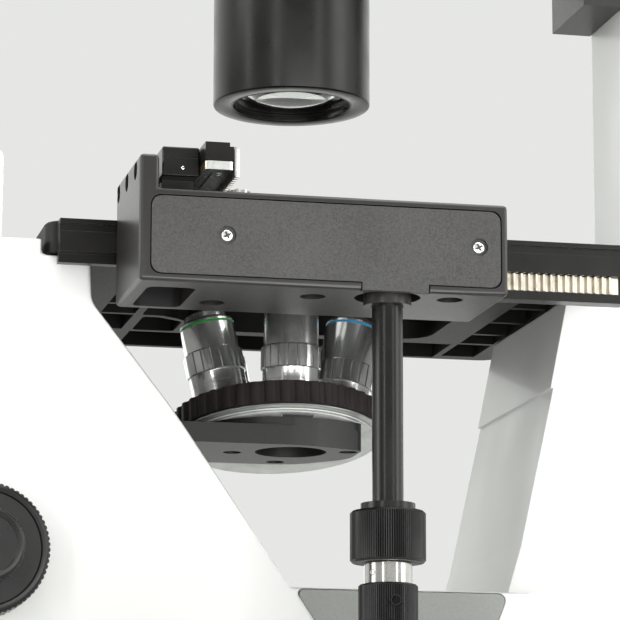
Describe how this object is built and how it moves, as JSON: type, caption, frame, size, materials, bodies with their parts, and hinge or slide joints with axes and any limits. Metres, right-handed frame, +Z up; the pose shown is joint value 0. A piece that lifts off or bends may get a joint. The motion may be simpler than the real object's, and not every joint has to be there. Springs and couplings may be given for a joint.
{
  "type": "inverted microscope",
  "caption": "Inverted laboratory microscope with nosepiece under a fixed stage, coaxial stage drive, inclined binocular head, and lamp and condenser on a rear column",
  "frame": {"origin": "centre of the footprint's bounding box, on the table under the feet", "axes": "X to the user's right, Y from the user towards the lamp column, Z up"},
  "size_m": [0.2903, 0.5288, 0.5049],
  "materials": {
    "white_enamel": "casting with white satin enamel",
    "grey_texture": "plate with fine textured grey paint",
    "black_enamel": "casting with textured black paint",
    "black_anodised": "black anodised",
    "bright_chrome": "polished chrome plate",
    "machined_steel": "machined steel",
    "bronze": "cut bronze",
    "black_plastic": "black moulded plastic",
    "black_rubber": "matt rubber",
    "clear_glass": "clear optical glass"
  },
  "bodies": {
    "stand": {"stand_casting": "white_enamel", "side_panel_left": "grey_texture", "side_panel_right": "grey_texture", "base_plate": "black_enamel", "foot_front_left": "black_rubber", "foot_front_right": "black_rubber", "foot_rear_left": "black_rubber", "foot_rear_right": "black_rubber", "light_port_window": "clear_glass", "power_inlet": "black_plastic", "stage_plate": "black_enamel", "stage_insert": "black_anodised", "y_rail": "black_anodised", "y_rack": "bronze", "lamp_column": "white_enamel", "lamp_arm": "white_enamel", "lamp_lens": "clear_glass", "head_housing": "white_enamel"},
    "rocker": {"power_switch": "black_plastic"},
    "dimmer": {"brightness_knob": "black_plastic"},
    "nose_carrier": {"focus_bar": "black_enamel", "turret_seat": "bright_chrome"},
    "nosepiece": {"turret_disc": "bright_chrome", "turret_grip": "black_rubber", "objective_4": "bright_chrome", "objective_10": "bright_chrome", "objective_20": "bright_chrome", "objective_40": "bright_chrome", "objective_20_phase": "bright_chrome"},
    "coarse_drive": {"coarse_knob_left": "black_plastic", "coarse_knob_right": "black_plastic", "focus_tube": "machined_steel"},
    "fine_drive": {"fine_knob_left": "black_plastic", "fine_knob_right": "black_plastic"},
    "y_carriage": {"drive_block": "black_enamel", "cover_plate": "grey_texture", "x_guide": "black_anodised"},
    "y_control": {"drive_tube": "black_anodised", "upper_knob": "black_plastic"},
    "idler": {"y_idler": "bronze"},
    "x_control": {"inner_shaft": "machined_steel", "lower_knob": "black_plastic"},
    "middle_gear": {"x_middle_gear": "bronze"},
    "last_gear": {"x_last_gear": "machined_steel"},
    "specimen_slide": {"x_bar": "black_anodised", "bar_plate": "bright_chrome", "x_rack": "machined_steel", "holder_angle": "black_anodised"},
    "finger": {"holder_finger": "machined_steel"},
    "condenser": {"condenser_carrier": "black_enamel", "condenser_tube": "black_anodised", "condenser_lens": "clear_glass"},
    "clamp": {"carrier_clamp": "black_plastic"},
    "stop_slide": {"stop_slider": "black_anodised"},
    "aperture": {"aperture_lever": "black_anodised"},
    "left_eye": {"eye_tube_left": "white_enamel"},
    "right_eye": {"eye_tube_right": "white_enamel"},
    "left_eyepiece": {"eyepiece_left": "black_plastic"},
    "right_eyepiece": {"eyepiece_right": "black_plastic"},
    "dioptre": {"dioptre_ring": "black_plastic"}
  },
  "joints": [
    {"name": "switch_rock", "type": "hinge", "parent": "stand", "child": "rocker", "pos_m": [0.0145, 0.2585, 0.038], "axis": [1, 0, 0], "range_deg": [-16, 0]},
    {"name": "dimmer_turn", "type": "hinge", "parent": "stand", "child": "dimmer", "pos_m": [0.0765, -0.147, 0.056], "axis": [1, 0, 0], "range_deg": [-270, 0]},
    {"name": "coarse_turn", "type": "hinge", "parent": "stand", "child": "coarse_drive", "pos_m": [-0.0155, -0.097, 0.075], "axis": [1, 0, 0], "range_deg": [-57.5, 9.6]},
    {"name": "focus", "type": "slide", "parent": "stand", "child": "nose_carrier", "axis": [0, 0, 1], "range_m": [-0.006, 0.001]},
    {"name": "fine_turn", "type": "hinge", "parent": "coarse_drive", "child": "fine_drive", "pos_m": [-0.0155, -0.097, 0.075], "axis": [1, 0, 0], "continuous": true},
    {"name": "nosepiece_turn", "type": "hinge", "parent": "nose_carrier", "child": "nosepiece", "pos_m": [-0.0424, 0.048, 0.15357], "axis": [-0.1908, 0, 0.9816], "continuous": true},
    {"name": "y_travel", "type": "slide", "parent": "stand", "child": "y_carriage", "axis": [0, 1, 0], "range_m": [-0.04, 0.04]},
    {"name": "y_control_turn", "type": "hinge", "parent": "y_carriage", "child": "y_control", "pos_m": [0.1305, 0.05475, 0.085], "axis": [0, 0, 1], "range_deg": [-290, 290]},
    {"name": "idler_turn", "type": "hinge", "parent": "y_carriage", "child": "idler", "pos_m": [0.1045, 0.05475, 0.1915], "axis": [0, 0, 1], "range_deg": [-130, 130]},
    {"name": "x_travel", "type": "slide", "parent": "y_carriage", "child": "specimen_slide", "axis": [1, 0, 0], "range_m": [-0.03, 0.09]},
    {"name": "x_control_turn", "type": "hinge", "parent": "y_carriage", "child": "x_control", "pos_m": [0.1305, 0.05475, 0.055], "axis": [0, 0, 1], "range_deg": [-175, 520]},
    {"name": "middle_gear_turn", "type": "hinge", "parent": "y_carriage", "child": "middle_gear", "pos_m": [0.11563, 0.02529, 0.2005], "axis": [0, 0, 1], "range_deg": [-226, 78]},
    {"name": "last_gear_turn", "type": "hinge", "parent": "y_carriage", "child": "last_gear", "pos_m": [0.10257, -0.0006, 0.2005], "axis": [0, 0, 1], "range_deg": [-290, 862]},
    {"name": "finger_swing", "type": "hinge", "parent": "specimen_slide", "child": "finger", "pos_m": [-0.0075, 0.002, 0.2144], "axis": [0, 0, 1], "range_deg": [-35, 0], "stiffness_Nm_per_rad": 0.02},
    {"name": "condenser_lift", "type": "slide", "parent": "stand", "child": "condenser", "axis": [0, 0, 1], "range_m": [-0.01, 0.03]},
    {"name": "clamp_turn", "type": "hinge", "parent": "condenser", "child": "clamp", "pos_m": [0.0085, 0.1847, 0.3632], "axis": [1, 0, 0], "range_deg": [-180, 0]},
    {"name": "stop_travel", "type": "slide", "parent": "condenser", "child": "stop_slide", "axis": [1, 0, 0], "range_m": [-0.048, 0.048]},
    {"name": "aperture_turn", "type": "hinge", "parent": "condenser", "child": "aperture", "pos_m": [-0.0155, 0.048, 0.3923], "axis": [0, 0, 1], "range_deg": [-50, 50]},
    {"name": "right_eye_turn", "type": "hinge", "parent": "stand", "child": "right_eye", "pos_m": [-0.0155, -0.16, 0.302], "axis": [0, -0.7071, 0.7071], "range_deg": [-11, 16]},
    {"name": "left_eye_turn", "type": "hinge", "parent": "stand", "child": "left_eye", "pos_m": [-0.0155, -0.16, 0.302], "axis": [0, -0.7071, 0.7071], "range_deg": [-16, 11]},
    {"name": "left_eyepiece_lift", "type": "slide", "parent": "left_eye", "child": "left_eyepiece", "axis": [0, -0.7071, 0.7071], "range_m": [0, 0.03]},
    {"name": "right_eyepiece_lift", "type": "slide", "parent": "right_eye", "child": "right_eyepiece", "axis": [0, -0.7071, 0.7071], "range_m": [0, 0.03]},
    {"name": "dioptre_turn", "type": "hinge", "parent": "left_eye", "child": "dioptre", "pos_m": [-0.0465, -0.22292, 0.33384], "axis": [0, -0.7071, 0.7071], "range_deg": [-120, 120]}
  ],
  "couplings": [
    {"joint": "coarse_turn", "follows": "focus", "rad_per_m": 166.67},
    {"joint": "y_control_turn", "follows": "y_travel", "rad_per_m": -125},
    {"joint": "idler_turn", "follows": "y_travel", "rad_per_m": 55.556},
    {"joint": "last_gear_turn", "follows": "x_travel", "rad_per_m": 166.67},
    {"joint": "middle_gear_turn", "follows": "x_travel", "rad_per_m": -43.478},
    {"joint": "x_control_turn", "follows": "x_travel", "rad_per_m": 100},
    {"joint": "left_eye_turn", "follows": "right_eye_turn", "ratio": -1}
  ]
}
